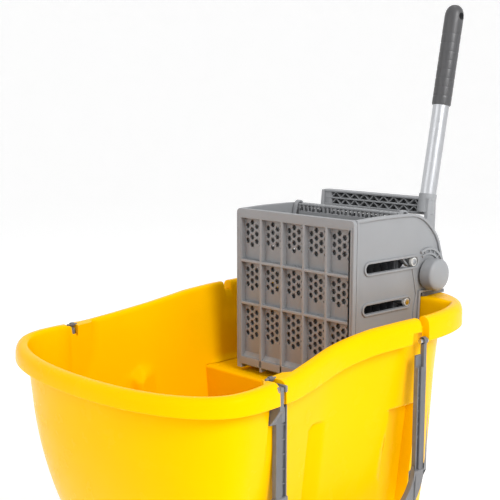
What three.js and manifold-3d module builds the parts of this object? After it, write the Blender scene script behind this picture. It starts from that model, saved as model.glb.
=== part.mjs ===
// Mop bucket on swivel casters with a side-press wringer hung on its rear rim.
// Millimetres, +Z up, front of the bucket towards -Y, +X to the user's right when facing +Y.
// Working datum: y = 0 is the wringer's front face and z = 0 lies 26 mm under its top edge;
// one root group moves that datum so that the origin is under the middle of the whole object, on the floor.
import * as THREE from 'three';
import { mergeVertices } from 'three/addons/utils/BufferGeometryUtils.js';
import Module from 'manifold-3d';

const wasm = await Module();
wasm.setup();

// ---------------------------------------------------------------- driving dimensions
const FLOOR_Z = -490;            // floor under the working datum
const ORIGIN_Y = -60.164;          // middle of the object along Y in the working datum
// bucket
const RIM_SEGMENTS = 60;
const BUCKET_UNDER = -390, BUCKET_FLOOR = -384;
const RIM_OUT = 9.5;             // skirt stands this far outside the crest line
const WALL_OUT = -4, WALL_IN = -8; // wall faces measured from the crest line
const LEDGE_Y = 140;             // rear edge of the cavity, start of the flat ledge
const SHELF_Y = -15, SHELF_Z = -206;
// carry handles
const HANDLE_X = 189, HANDLE_Z = -120, HANDLE_YF = -213, HANDLE_YR = 33;
const HANDLE_W = 25, HANDLE_T = 9, HANDLE_LOW = -342, HANDLE_BEND = 62;
const NOTCH_X = 181, NOTCH_HALF = 14;
// wringer
const WR_W = 108.6;              // half width
const WR_TOP = 26, WR_BOT = -201.5;
const PLATE_IN = 101;            // inner face of a side plate
const PIVOT_Y = 155, PIVOT_Z = -58;
const SLOT1 = { y0: 26, y1: 132, z: -39, h: 12.9 };
const SLOT2 = { y0: 23, y1: 117.5, z: -92, h: 11.6 };
const ROD1_Y = 125, ROD2_Y = 111.5, ROD_R = 4;
const PRESS_Y0 = 105, PRESS_Y1 = 118, PRESS_TRAVEL = 60;
const LEVER_MAX = 50;            // degrees
const ARM_X0 = 93, ARM_X1 = 99.5;
const LEVER_X = 88, LEVER_LEAN = 10.9 * Math.PI / 180;
const TUBE_R = 11, GRIP_R = 12.9;
// casters
const WHEEL_R = 37.5, CASTER_TRAIL = 22;
const CASTERS = { front_left: [-98, -200], front_right: [98, -200], rear_left: [-104, 100], rear_right: [104, 100] };

// ---------------------------------------------------------------- helpers
function solid(geo) {
  const g = geo.index ? geo.toNonIndexed() : geo.clone();
  g.deleteAttribute('normal'); g.deleteAttribute('uv');
  const m = mergeVertices(g, 1e-4);
  return new wasm.Manifold(new wasm.Mesh({
    numProp: 3,
    vertProperties: new Float32Array(m.attributes.position.array),
    triVerts: new Uint32Array(m.index.array) }));
}
function geometry(man) {
  const mesh = man.getMesh();
  const g = new THREE.BufferGeometry();
  g.setAttribute('position', new THREE.BufferAttribute(new Float32Array(mesh.vertProperties), 3));
  g.setIndex(new THREE.BufferAttribute(new Uint32Array(mesh.triVerts), 1));
  g.computeVertexNormals();
  return g;
}
const all = (...list) => list.reduce((a, b) => a.add(b));
const cut = (a, ...list) => list.reduce((x, b) => x.subtract(b), a);
function box(x0, x1, y0, y1, z0, z1) {
  const g = new THREE.BoxGeometry(x1 - x0, y1 - y0, z1 - z0);
  g.translate((x0 + x1) / 2, (y0 + y1) / 2, (z0 + z1) / 2);
  return solid(g);
}
function rod(axis, a, b, p, q, r, n = 16) { // cylinder along an axis from a to b, centred on (p, q)
  const g = new THREE.CylinderGeometry(r, r, b - a, n);
  if (axis === 'x') { g.rotateZ(-Math.PI / 2); g.translate((a + b) / 2, p, q); }
  if (axis === 'y') g.translate(p, (a + b) / 2, q);
  if (axis === 'z') { g.rotateX(Math.PI / 2); g.translate(p, q, (a + b) / 2); }
  return solid(g);
}
function poly(points) { const s = new THREE.Shape(); points.forEach(([u, v], i) => i ? s.lineTo(u, v) : s.moveTo(u, v)); s.closePath(); return s; }
function hole(points) { const p = new THREE.Path(); points.forEach(([u, v], i) => i ? p.lineTo(u, v) : p.moveTo(u, v)); p.closePath(); return p; }
function slotPts(y0, y1, z, h, n = 6) { // round-ended slot outline
  const r = h / 2, out = [];
  for (let i = 0; i <= n; i++) { const a = -Math.PI / 2 + Math.PI * i / n; out.push([y1 - r + r * Math.cos(a), z + r * Math.sin(a)]); }
  for (let i = 0; i <= n; i++) { const a = Math.PI / 2 + Math.PI * i / n; out.push([y0 + r + r * Math.cos(a), z + r * Math.sin(a)]); }
  return out;
}
function circlePts(y, z, r, n = 24, a0 = 0) { return Array.from({ length: n }, (_, i) => [y + r * Math.cos(a0 + 2 * Math.PI * i / n), z + r * Math.sin(a0 + 2 * Math.PI * i / n)]); }
function slab(shape, depth) { return new THREE.ExtrudeGeometry(shape, { depth, bevelEnabled: false, curveSegments: 12 }); }
function alongX(shape, x0, x1) { // outline in (y, z)
  const g = slab(shape, x1 - x0);
  g.applyMatrix4(new THREE.Matrix4().makeBasis(new THREE.Vector3(0, 1, 0), new THREE.Vector3(0, 0, 1), new THREE.Vector3(1, 0, 0)));
  g.translate(x0, 0, 0);
  return solid(g);
}
function alongY(shape, y0, y1) { // outline in (x, z)
  const g = slab(shape, y1 - y0);
  g.applyMatrix4(new THREE.Matrix4().makeBasis(new THREE.Vector3(1, 0, 0), new THREE.Vector3(0, 0, 1), new THREE.Vector3(0, -1, 0)));
  g.translate(0, y1, 0);
  return solid(g);
}
function alongZ(shape, z0, z1) { const g = slab(shape, z1 - z0); g.translate(0, 0, z0); return solid(g); }
function inset(points, d) { // move each edge of a counter-clockwise outline inwards by d
  const n = points.length, out = [];
  for (let i = 0; i < n; i++) {
    const a = points[(i + n - 1) % n], b = points[i], c = points[(i + 1) % n];
    const e1 = [b[0] - a[0], b[1] - a[1]], e2 = [c[0] - b[0], c[1] - b[1]];
    const l1 = Math.hypot(...e1), l2 = Math.hypot(...e2);
    const n1 = [-e1[1] / l1, e1[0] / l1], n2 = [-e2[1] / l2, e2[0] / l2];
    const k = 1 + n1[0] * n2[0] + n1[1] * n2[1];
    out.push([b[0] + d * (n1[0] + n2[0]) / k, b[1] + d * (n1[1] + n2[1]) / k]);
  }
  return out;
}
const mirrorX = (man) => man.mirror([1, 0, 0]);
function interp(table, v) {
  if (v <= table[0][0]) return table[0][1];
  for (let i = 1; i < table.length; i++) if (v <= table[i][0]) {
    const [a, fa] = table[i - 1], [b, fb] = table[i]; const t = (v - a) / (b - a);
    return fa + (fb - fa) * t;
  }
  return table[table.length - 1][1];
}

// ---------------------------------------------------------------- bucket plan and profile
// Crest line of the rim, right half, front tip to rear middle: rounded front, waisted sides, square rear.
const PLAN = [[0, -345], [57.5, -342.5], [106, -335], [146.3, -323], [176.7, -307], [195.6, -287.8], [202, -265], [200.5, -238], [194, -195],
  [184.5, -150], [176.5, -108], [175.5, -64], [179, -20], [182.5, 30], [182, 80], [177, 110], [166, 138], [149, 160], [127, 176], [100, 187], [70, 193.5], [36, 197.5], [0, 198.4]];
const CREST = [[-360, -132.5], [-320, -128], [-280, -123.8], [-240, -121], [-200, -118.7], [-160, -112.5], [-120, -105.5], [-80, -99.5], [-40, -94.5], [10, -92], [60, -91.1], [110, -89], [134, -88], [220, -88]];
const crest = (y) => interp(CREST, y);
const halfCurve = new THREE.CatmullRomCurve3([...PLAN.map(([x, y]) => new THREE.Vector3(x, y, 0))], false, 'centripetal');
const half = halfCurve.getSpacedPoints(RIM_SEGMENTS / 2);
half[0].x = 0; half[half.length - 1].x = 0;
const planPts = [...half.map((p) => [p.x, p.y]), ...half.slice(1, -1).reverse().map((p) => [-p.x, p.y])];
const N = planPts.length;
const normals = planPts.map((_, i) => {
  const a = planPts[(i + N - 1) % N], b = planPts[(i + 1) % N];
  const t = [b[0] - a[0], b[1] - a[1]], l = Math.hypot(...t);
  return [t[1] / l, -t[0] / l];
});
const smooth = (a, b, v) => { const t = Math.min(1, Math.max(0, (v - a) / (b - a))); return t * t * (3 - 2 * t); };
function taper(y, d) { // how far the wall has come in at depth d under the crest
  const front = 0.09 * d + 0.00106 * Math.max(0, d - 80) ** 2;
  const rear = 0.11 * d;
  const w = smooth(-150, -300, y);
  return rear + (front - rear) * w;
}
const skirt = (y) => 21 + 9 * smooth(-340, -120, y);
function ring(off, zOf) { return planPts.map(([x, y], i) => [x + normals[i][0] * off(y), y + normals[i][1] * off(y), zOf(y)]); }
function pull(x, y, z) { // under the rim the rear corners of the wall sit further in than the rim does
  const d = crest(y) - z, m = smooth(6, 30, d) * (1 - 0.5 * smooth(60, 220, d));
  return [x * (1 - 0.03 * m * smooth(40, 150, y)), y - 0.2 * m * Math.max(0, y - 60) * smooth(60, 90, y), z];
}
const rimRing = (off, dz) => ring(() => off, (y) => crest(y) + dz);
function wallRing(off, t, zBottom) { // t = 0 at 12 mm under the crest, 1 at zBottom
  const zAt = (y) => crest(y) - 12 + (zBottom - crest(y) + 12) * t;
  return ring((y) => off - taper(y, crest(y) - zAt(y)), zAt).map(([x, y, z]) => pull(x, y, z));
}
function loft(rings) { // closed solid through rings that all run the same way round, flat strips as end caps
  const pos = rings.flat().flat(), idx = [];
  for (let r = 0; r + 1 < rings.length; r++) for (let i = 0; i < N; i++) {
    const a = r * N + i, b = r * N + (i + 1) % N, c = a + N, d = b + N;
    idx.push(a, c, b, b, c, d);
  }
  const cap = (base, flip) => {
    for (let i = 0; i < N / 2; i++) {
      const a = base + i, b = base + i + 1, c = base + (N - i) % N, d = base + N - i - 1;
      const q = i === 0 ? [[a, b, d]] : i === N / 2 - 1 ? [[a, b, c]] : [[a, b, c], [b, d, c]];
      q.forEach(([p, s, t]) => flip ? idx.push(p, t, s) : idx.push(p, s, t));
    }
  };
  cap(0, false); cap((rings.length - 1) * N, true);
  const g = new THREE.BufferGeometry();
  g.setAttribute('position', new THREE.Float32BufferAttribute(pos, 3)); g.setIndex(idx);
  return solid(g);
}
const outer = loft([
  rimRing(0, 0), ring(() => 5, (y) => crest(y) - 1.8), ring(() => 8.6, (y) => crest(y) - 7),
  ring(() => RIM_OUT, (y) => crest(y) - skirt(y)), ring(() => RIM_OUT - 3.2, (y) => crest(y) - skirt(y)),
  ring(() => RIM_OUT - 3.8, (y) => crest(y) - 11), ring(() => 1.5, (y) => crest(y) - 6.5), ring(() => WALL_OUT, (y) => crest(y) - 9),
  wallRing(WALL_OUT, 0.08, BUCKET_UNDER + 8), wallRing(WALL_OUT, 0.35, BUCKET_UNDER + 8), wallRing(WALL_OUT, 0.65, BUCKET_UNDER + 8), wallRing(WALL_OUT, 1, BUCKET_UNDER + 8),
  wallRing(WALL_OUT - 9, 1, BUCKET_UNDER)]);
const cavityFull = loft([
  ring(() => -3.2, (y) => crest(y) + 30), ring(() => -3.2, (y) => crest(y)), ring(() => -6.5, (y) => crest(y) - 2.6),
  ring(() => WALL_IN, (y) => crest(y) - 9),
  wallRing(WALL_IN, 0.08, BUCKET_FLOOR + 10), wallRing(WALL_IN, 0.35, BUCKET_FLOOR + 10), wallRing(WALL_IN, 0.65, BUCKET_FLOOR + 10), wallRing(WALL_IN, 1, BUCKET_FLOOR + 10), wallRing(WALL_IN - 10, 1, BUCKET_FLOOR)]);
const underFull = loft([ // space between the outer wall and the stepped cavity, behind and under it
  ring(() => WALL_IN, (y) => crest(y) - 5), wallRing(WALL_IN, 0.08, BUCKET_UNDER - 5), wallRing(WALL_IN, 0.5, BUCKET_UNDER - 5), wallRing(WALL_IN, 1, BUCKET_UNDER - 5)]);
// side recess between the handle arms: a shallow step fading to the rear, then a deeper pocket in front of the rear arm
function recess(pts, zTop) { // prism sheared to follow the wall's taper
  const g = slab(poly(pts), zTop - (BUCKET_UNDER + 22));
  g.translate(0, 0, BUCKET_UNDER + 22);
  g.applyMatrix4(new THREE.Matrix4().set(1, 0, 0.11, -0.11 * zTop, 0, 1, 0, 0, 0, 0, 1, 0, 0, 0, 0, 1));
  return solid(g);
}
const STEP = [[149.5, -141], [165.5, -98], [230, -98], [230, -141]];
const STEP_IN = [[145, -147], [145.5, -137], [161.5, -96], [230, -96], [230, -147]];
const POCKET = [[152, 9], [230, 9], [230, 62], [152, 62]];
const POCKET_IN = [[147.5, 4.5], [230, 4.5], [230, 66.5], [147.5, 66.5]];
const stepCut = recess(STEP, -198), pocketCut = recess(POCKET, -210);
const stepIn = recess(STEP_IN, -193), pocketIn = recess(POCKET_IN, -205);
const notch = (y) => box(NOTCH_X, 240, y - NOTCH_HALF, y + NOTCH_HALF, -262, -40);
const notchIn = (y) => box(NOTCH_X - 4, 240, y - NOTCH_HALF - 8, y + NOTCH_HALF + 8, -266, -40);
const lugBlock = (y) => box(NOTCH_X - 2, 193, y - NOTCH_HALF - 8, y + NOTCH_HALF + 8, HANDLE_Z - 16, Math.min(HANDLE_Z + 14, crest(y) - 6.2));
const pinHole = (y) => rod('y', y - NOTCH_HALF - 7.5, y + NOTCH_HALF + 7.5, HANDLE_X, HANDLE_Z, 3.4, 12);
const both = (m) => m.add(mirrorX(m));
let cavity = cavityFull.intersect(box(-300, 300, -500, LEDGE_Y, -500, 200));
cavity = cut(cavity, box(-300, 300, SHELF_Y, 300, -500, SHELF_Z),
  both(all(stepIn, pocketIn, notchIn(HANDLE_YF), notchIn(HANDLE_YR))));
let under = underFull.intersect(all(box(-300, 300, LEDGE_Y + 4, 300, BUCKET_UNDER + 6, -96), box(-300, 300, SHELF_Y + 4, 300, BUCKET_UNDER + 6, SHELF_Z - 4.2)));
under = cut(under, both(all(pocketIn, stepIn)));
const underMouth = box(-62, 62, 20, 155, BUCKET_UNDER - 10, BUCKET_UNDER + 10);
const hookSlot = (s) => box(s > 0 ? 98 : -110, s > 0 ? 110 : -98, 145, 157, -105, -60);
let shell = all(outer, both(all(lugBlock(HANDLE_YF), lugBlock(HANDLE_YR))));
shell = cut(shell, both(all(stepCut, pocketCut, notch(HANDLE_YF), notch(HANDLE_YR), pinHole(HANDLE_YF), pinHole(HANDLE_YR))),
  cavity, under, underMouth, hookSlot(1), hookSlot(-1));
const bucket = shell.decompose().sort((a, b) => b.volume() - a.volume())[0];

// ---------------------------------------------------------------- carry handles
const uPath = new THREE.Shape();
{ // U outline in (y, z): two straight arms, two bends, a low grip bar
  const yf = HANDLE_YF, yr = HANDLE_YR, w = HANDLE_W / 2, low = HANDLE_LOW, R = HANDLE_BEND;
  const out = [];
  const arc = (cy, cz, r, a0, a1, n = 7) => { for (let i = 0; i <= n; i++) { const a = a0 + (a1 - a0) * i / n; out.push([cy + r * Math.cos(a), cz + r * Math.sin(a)]); } };
  out.push([yf - w, HANDLE_Z + 8]); arc(yf + R, low + R, R + w, Math.PI, 1.5 * Math.PI); arc(yr - R, low + R, R + w, 1.5 * Math.PI, 2 * Math.PI);
  out.push([yr + w, HANDLE_Z + 8], [yr - w, HANDLE_Z + 8]); arc(yr - R, low + R, R - w, 2 * Math.PI, 1.5 * Math.PI); arc(yf + R, low + R, R - w, 1.5 * Math.PI, Math.PI);
  out.push([yf + w, HANDLE_Z + 8]);
  out.forEach(([a, b], i) => i ? uPath.lineTo(a, b) : uPath.moveTo(a, b)); uPath.closePath();
}
function carryHandle() {
  const bar = alongX(uPath, HANDLE_X - HANDLE_T / 2, HANDLE_X + HANDLE_T / 2).subtract(box(100, 300, -400, 300, HANDLE_Z, -20));
  const lug = (y) => rod('y', y - HANDLE_W / 2, y + HANDLE_W / 2, HANDLE_X, HANDLE_Z, 7.5, 16);
  const bore = (y) => rod('y', y - 20, y + 20, HANDLE_X, HANDLE_Z, 3.5, 12);
  return cut(all(bar, lug(HANDLE_YF), lug(HANDLE_YR)), bore(HANDLE_YF), bore(HANDLE_YR));
}
const handleR = carryHandle();
const handlePin = (y) => rod('y', y - NOTCH_HALF - 7, y + NOTCH_HALF + 7, HANDLE_X, HANDLE_Z, 3, 12);

// ---------------------------------------------------------------- wringer frame
const arcPts = (r, a0, a1, n) => Array.from({ length: n + 1 }, (_, i) => { const a = (a0 + (a1 - a0) * i / n) * Math.PI / 180; return [PIVOT_Y + r * Math.cos(a), PIVOT_Z + r * Math.sin(a)]; });
const SIDE = [[7, WR_BOT], [134, WR_BOT], [137, -118], [139, -83], [177, -83], ...arcPts(36, -40, 32, 6),
  [180, -24], [172, -8], [160, 6], [142, 20], [120, 26], [88, 27], [48, 27], [7, 25.5]];
function sidePlate() {
  const base = poly(SIDE);
  base.holes.push(hole(slotPts(SLOT1.y0, SLOT1.y1, SLOT1.z, SLOT1.h)), hole(slotPts(SLOT2.y0, SLOT2.y1, SLOT2.z, SLOT2.h)), hole(circlePts(PIVOT_Y, PIVOT_Z, 7.5, 16)));
  let m = alongX(base, PLATE_IN, 105.6);
  const border = poly(SIDE); border.holes.push(hole(inset(SIDE, 4)));
  m = m.add(alongX(border, 105, WR_W));
  const belt = poly([[35, -51], [126, -51], [131, -84], [127, -103], [35, -103]].map(([y, z]) => [y, z]));
  for (const s of [SLOT1, SLOT2]) {
    const r = poly(slotPts(s.y0 - 4, s.y1 + 4, s.z, s.h + 8)); r.holes.push(hole(slotPts(s.y0, s.y1, s.z, s.h)));
    m = m.add(alongX(r, 105, 107.8));
  }
  for (const [r0, r1, x1] of [[25, 29, 108], [32, 35.9, WR_W]]) {
    const r = poly(circlePts(PIVOT_Y, PIVOT_Z, r1, 22)); r.holes.push(hole(circlePts(PIVOT_Y, PIVOT_Z, r0, 22)));
    m = m.add(alongX(r, 105, x1).intersect(box(100, 120, 100, 250, -83, 50)).subtract(box(100, 120, 0, SLOT1.y1 + 4.2, -60, -30)));
  }
  // small ribs radiating between the two arcs, upper rear
  for (let k = 0; k < 5; k++) {
    const a = (20 + 22 * k) * Math.PI / 180;
    const g = new THREE.BoxGeometry(3, 5, 2.2); g.rotateX(a); g.translate(106.4, PIVOT_Y + 30.5 * Math.cos(a), PIVOT_Z + 30.5 * Math.sin(a));
    m = m.add(solid(g));
  }
  return m;
}
const sideR = sidePlate();
const COLS = 5, CELL_W = 36.6, RIB = 4, PITCH = CELL_W + RIB;
const ROWS = [[-44.6, 13], [-104.6, -48.6], [-184, -108.6]];
function gridPanel() {
  let m = box(-WR_W, WR_W, 0, 6.4, WR_BOT + 6, WR_TOP).add(box(-100.6, 100.6, 0, 11, WR_BOT + 6, WR_TOP - 0.6));
  for (let c = 0; c < COLS; c++) for (const [z0, z1] of ROWS) {
    const x0 = -99.5 + c * PITCH, x1 = x0 + CELL_W;
    m = m.subtract(box(x0, x1, -5, 20, z0, z1));
  }
  for (let c = 0; c <= COLS; c++) { const x = -101.5 + c * PITCH; m = m.add(box(Math.max(x - RIB / 2, -100.6) , Math.min(x + RIB / 2, 100.6), 0, 11, WR_BOT, -190)); }
  m = m.add(box(-WR_W, -100, 0, 6.4, WR_BOT, -190)).add(box(100, WR_W, 0, 6.4, WR_BOT, -190));
  return m.subtract(box(-92, -70, -5, 20, -193.5, -186));
}
function strainer() {
  let m = box(-100.4, 100.4, 11.4, 14.4, WR_BOT + 6, 24);
  for (let c = 0; c < COLS; c++) for (const [z0, z1] of ROWS) {
    const xc = -99.5 + c * PITCH + CELL_W / 2;
    for (const [dx, dz] of [[-8, 12], [8, 12], [0, 26]]) {
      m = m.subtract(alongY(poly(circlePts(xc + dx, z1 - dz, 5, 4)), 5, 20));
    }
  }
  return m;
}
function drainPlate() {
  let m = box(-100.6, 100.6, 14.8, 128, WR_BOT, WR_BOT + 4);
  for (let i = 0; i < 6; i++) for (let j = 0; j < 2; j++) { const x = -80 + i * 32, y = 24 + j * 52; m = m.subtract(box(x - 6, x + 6, y, y + 40, WR_BOT - 5, WR_BOT + 9)); }
  return m;
}
function rearPanel() {
  let m = box(-100.6, 100.6, 128.6, 132.2, WR_BOT, -92);
  for (let i = 0; i < 5; i++) { const x = -72 + i * 36; m = m.subtract(box(x - 11, x + 11, 120, 140, -180, -112)); }
  return m;
}
const pivotShaft = rod('x', -108.4, 108.4, PIVOT_Y, PIVOT_Z, 7, 16);
function pivotCap() {
  const g = new THREE.LatheGeometry([[0, 109], [20.4, 109], [21, 110], [21, 121.5], [18.6, 124], [11, 125.4], [0, 125.6]].map(([r, h]) => new THREE.Vector2(r, h)), 22);
  g.rotateZ(-Math.PI / 2); g.translate(0, PIVOT_Y, PIVOT_Z);
  return solid(g);
}
const capR = pivotCap();
const hookR = alongX(poly([[141.5, -83.3], [141.5, -87.6], [146.2, -87.6], [146.2, -101], [147.6, -104], [154, -104], [155.6, -101], [155.6, -87.6], [190, -87.6], [190, -83.3]].reverse()), 99.2, 108.8);

// ---------------------------------------------------------------- press plate and its guides
function pressPlate() {
  const top = 27, w = 90.6;
  let m = box(-w, w, PRESS_Y0 + 3, PRESS_Y0 + 7, -195, top - 6);
  for (let i = 0; i < 9; i++) { const x = -w + 3 + i * (2 * w - 6) / 8; m = m.add(box(x - 3, x + 3, PRESS_Y0, PRESS_Y0 + 4, -190, top)); } // front bars end as teeth
  m = m.add(box(-w, w, PRESS_Y0 + 3, PRESS_Y1, top - 9, top - 5));
  for (const z of [-120, -191]) m = m.add(box(-w, w, PRESS_Y0 + 5, PRESS_Y1 - (z === -39 ? 6 : 0), z - 2, z + 2));
  for (let i = 0; i < 3; i++) { const x = -45 + i * 45; m = m.add(box(x - 1.5, x + 1.5, PRESS_Y0 + 5, PRESS_Y1, -193, top - 6)); }
  for (const x of [-82, 82]) {
    m = m.add(alongX(poly([[PRESS_Y0 + 5, -60], [ROD1_Y - 2, -47], [ROD1_Y + 5, -43], [ROD1_Y + 5, -35], [ROD1_Y - 2, -31], [PRESS_Y0 + 5, -18]]), x - 3, x + 3));
    m = m.add(box(x - 3, x + 3, PRESS_Y0 + 5, PRESS_Y1, -100, -84));
  }
  return cut(m, rod('x', -120, 120, ROD1_Y, SLOT1.z, ROD_R + 0.45, 16), rod('x', -120, 120, ROD2_Y, SLOT2.z, ROD_R + 0.45, 16));
}
const guideRod = (y, z) => rod('x', -107.6, 107.6, y, z, ROD_R, 12);
function roller(y, z, r) { return rod('x', 101.6, 106.8, y, z, r, 16).subtract(rod('x', 90, 120, y, z, ROD_R + 0.45, 16)); }
const ROLLER1 = roller(ROD1_Y, SLOT1.z, 6), ROLLER2 = roller(ROD2_Y, SLOT2.z, 5.4);

// ---------------------------------------------------------------- lever yoke
// Cam slot in each arm: path of the upper guide rod seen from the arm while the lever turns and the plate slides.
const camPath = [];
for (let k = 0; k <= 12; k++) {
  const f = k / 12, phi = f * LEVER_MAX * Math.PI / 180;
  const dy = ROD1_Y - PRESS_TRAVEL * f - PIVOT_Y, dz = SLOT1.z - PIVOT_Z;
  camPath.push([PIVOT_Y + dy * Math.cos(phi) + dz * Math.sin(phi), PIVOT_Z - dy * Math.sin(phi) + dz * Math.cos(phi)]);
}
function stroke(path, r, n = 8) { // round-ended band along a path, counter-clockwise
  const L = [], Rr = [];
  const dir = path.map((_, i) => { const a = path[Math.max(0, i - 1)], b = path[Math.min(path.length - 1, i + 1)]; const l = Math.hypot(b[0] - a[0], b[1] - a[1]); return [(b[0] - a[0]) / l, (b[1] - a[1]) / l]; });
  path.forEach(([y, z], i) => { L.push([y - dir[i][1] * r, z + dir[i][0] * r]); Rr.push([y + dir[i][1] * r, z - dir[i][0] * r]); });
  const end = path[path.length - 1], de = dir[dir.length - 1], st = path[0], ds = dir[0];
  const cap1 = [], cap0 = [];
  for (let i = 1; i < n; i++) {
    const a = Math.atan2(-de[0], de[1]) + Math.PI * i / n; cap1.push([end[0] + r * Math.cos(a), end[1] + r * Math.sin(a)]);
    const b = Math.atan2(ds[0], -ds[1]) + Math.PI * i / n; cap0.push([st[0] + r * Math.cos(b), st[1] + r * Math.sin(b)]);
  }
  return [...Rr, ...cap1, ...L.reverse(), ...cap0];
}
function yokeArm() {
  const lobe = alongX(poly(stroke(camPath, 11)), ARM_X0, ARM_X1);
  const hub = alongX(poly(circlePts(PIVOT_Y, PIVOT_Z, 24, 28)), ARM_X0, ARM_X1);
  const web = alongX(poly([[132, -52], [172, -46], [178, 10], [178, 43], [130, 43], [114, 34], [108, 0], [116, -38]]), ARM_X0, ARM_X1);
  const block = alongX(poly([[130, 20], [178, 20], [178, 43], [130, 43]]), 74, ARM_X1).subtract(box(60, ARM_X0, 134, 164, 23, 50));
  let m = all(lobe, hub, web, block);
  return cut(m, alongX(poly(stroke(camPath, ROD_R + 0.6)), 60, 120), rod('x', 60, 120, PIVOT_Y, PIVOT_Z, 7.5, 20));
}
const armR = yokeArm();
const ly = (r) => PIVOT_Y + r * Math.sin(LEVER_LEAN), lz = (r) => PIVOT_Z + r * Math.cos(LEVER_LEAN);
function onLever(profile, n = 20) { // turned piece on the lever's axis, profile in (radius, distance from the pivot)
  const g = new THREE.LatheGeometry(profile.map(([r, h]) => new THREE.Vector2(r, h)), n);
  g.rotateX(Math.PI / 2); g.rotateX(-LEVER_LEAN);
  g.translate(LEVER_X, PIVOT_Y, PIVOT_Z);
  return solid(g);
}
const socketCut = onLever([[0, 82], [TUBE_R + 0.3, 82], [TUBE_R + 0.3, 140], [0, 140]]);
const leverSocket = onLever([[0, 79.5], [13.8, 79.5], [13.8, 110], [0, 110]]);
const armRight = armR.add(leverSocket.intersect(box(60, ARM_X1, 100, 200, 0, 60))).subtract(socketCut);
const armLeft = mirrorX(armR);
function yokeBeam() { // three flanges with two rows of triangular bracing
  let b = box(-73.4, 73.4, 167, 178, 20, 43);
  const n = 9, w = 146.8 / n;
  for (const [z0, z1] of [[22.2, 30.4], [32.6, 40.8]]) for (let i = 0; i < n; i++) {
    const x0 = -73.4 + i * w + 1.3, x1 = x0 + w - 2.6, m = (x0 + x1) / 2;
    b = cut(b, alongY(poly([[x0, z0], [x1 - 1.6, z0], [x0, z1 - 1.4]]), 160, 190), alongY(poly([[x1, z0 + 1.4], [x1, z1], [x0 + 1.6, z1]]), 160, 190));
  }
  return b;
}
const leverTube = onLever([[9.5, 82.4], [TUBE_R, 82.4], [TUBE_R, 338], [9.5, 338], [9.5, 82.4]]);
const handGrip = onLever([[TUBE_R + 0.3, 229], [12.4, 229], [GRIP_R, 231], [GRIP_R, 352], [11.2, 359.5], [7, 364], [0, 365.5], [0, 338.4], [TUBE_R + 0.3, 338.4], [TUBE_R + 0.3, 229]])
  .subtract(rod('x', 60, 120, ly(350), lz(350), 5, 12));

// ---------------------------------------------------------------- casters
function casterMount(x, y) {
  return all(box(x - 28, x + 28, y - 28, y + 28, BUCKET_UNDER - 4, BUCKET_UNDER - 0.3), rod('z', BUCKET_UNDER - 8, BUCKET_UNDER - 3.8, x, y, 20, 20), rod('z', BUCKET_UNDER - 14.5, BUCKET_UNDER - 7, x, y, 5, 12));
}
const axleZ = FLOOR_Z + WHEEL_R;
function casterFork(x, y) {
  const top = BUCKET_UNDER - 8.4;
  const leg = poly([[y - 19, top - 4], [y + 19, top - 4], [y + CASTER_TRAIL + 11, axleZ + 2], [y + CASTER_TRAIL + 7, axleZ - 8], [y + CASTER_TRAIL - 7, axleZ - 8], [y + CASTER_TRAIL - 11, axleZ + 4]].reverse());
  let m = all(box(x - 18, x + 18, y - 19, y + 19, top - 4.2, top), alongX(leg, x + 15, x + 18), alongX(leg, x - 18, x - 15));
  return cut(m, rod('z', top - 20, top + 5, x, y, 5.4, 12), rod('x', x - 30, x + 30, y + CASTER_TRAIL, axleZ, 4.3, 12));
}
const casterAxle = (x, y) => rod('x', x - 20, x + 20, y + CASTER_TRAIL, axleZ, 4, 12);
function casterWheel(x, y) { // flat facet turned down so that it stands on the floor
  const n = 20, R = WHEEL_R / Math.cos(Math.PI / n);
  const g = new THREE.LatheGeometry([[4.4, -12.6], [12, -12.6], [14, -9], [27, -9], [30, -12], [R - 2.5, -12], [R, -9], [R, 9], [R - 2.5, 12], [30, 12], [27, 9], [14, 9], [12, 12.6], [4.4, 12.6], [4.4, -12.6]].map(([r, h]) => new THREE.Vector2(r, h)), n);
  g.rotateZ(-Math.PI / 2); g.rotateX(Math.PI / n); g.translate(x, y + CASTER_TRAIL, axleZ);
  return solid(g);
}

// ---------------------------------------------------------------- scene graph
const root = new THREE.Group();
const datum = new THREE.Group();
datum.position.set(0, -ORIGIN_Y, -FLOOR_Z);
root.add(datum);
const MAT = {
  yellow: { color: 0xf7d40a, roughness: 0.28, metalness: 0 }, grey: { color: 0xa6a7a9, roughness: 0.5, metalness: 0 },
  mid: { color: 0x77787c, roughness: 0.5, metalness: 0 }, dark: { color: 0x54565a, roughness: 0.55, metalness: 0 },
  alu: { color: 0xc9ccd0, roughness: 0.35, metalness: 1 }, steel: { color: 0xb4b8bd, roughness: 0.3, metalness: 1 },
  tyre: { color: 0x3b3c3f, roughness: 0.7, metalness: 0 } };
function put(name, man, mat, parent = datum) {
  const m = new THREE.Mesh(geometry(man), new THREE.MeshStandardMaterial(MAT[mat]));
  m.name = name; parent.add(m);
}
put('bucket_shell', bucket, 'yellow');
put('carry_handle_right', handleR, 'mid');
put('carry_handle_left', mirrorX(handleR), 'mid');
for (const [tag, y] of [['front', HANDLE_YF], ['rear', HANDLE_YR]]) {
  put(`handle_pin_${tag}_right`, handlePin(y), 'steel');
  put(`handle_pin_${tag}_left`, mirrorX(handlePin(y)), 'steel');
}
put('side_plate_right', sideR, 'grey');
put('side_plate_left', mirrorX(sideR), 'grey');
put('front_grid_panel', gridPanel(), 'grey');
put('front_strainer_plate', strainer(), 'grey');
put('drain_plate', drainPlate(), 'grey');
put('rear_panel', rearPanel(), 'grey');
put('pivot_shaft', pivotShaft, 'steel');
put('pivot_cap_right', capR, 'grey');
put('pivot_cap_left', mirrorX(capR), 'grey');
put('rim_hook_right', hookR, 'dark');
put('rim_hook_left', mirrorX(hookR), 'dark');
put('press_plate', pressPlate(), 'grey');
put('upper_guide_rod', guideRod(ROD1_Y, SLOT1.z), 'steel');
put('lower_guide_rod', guideRod(ROD2_Y, SLOT2.z), 'steel');
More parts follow.
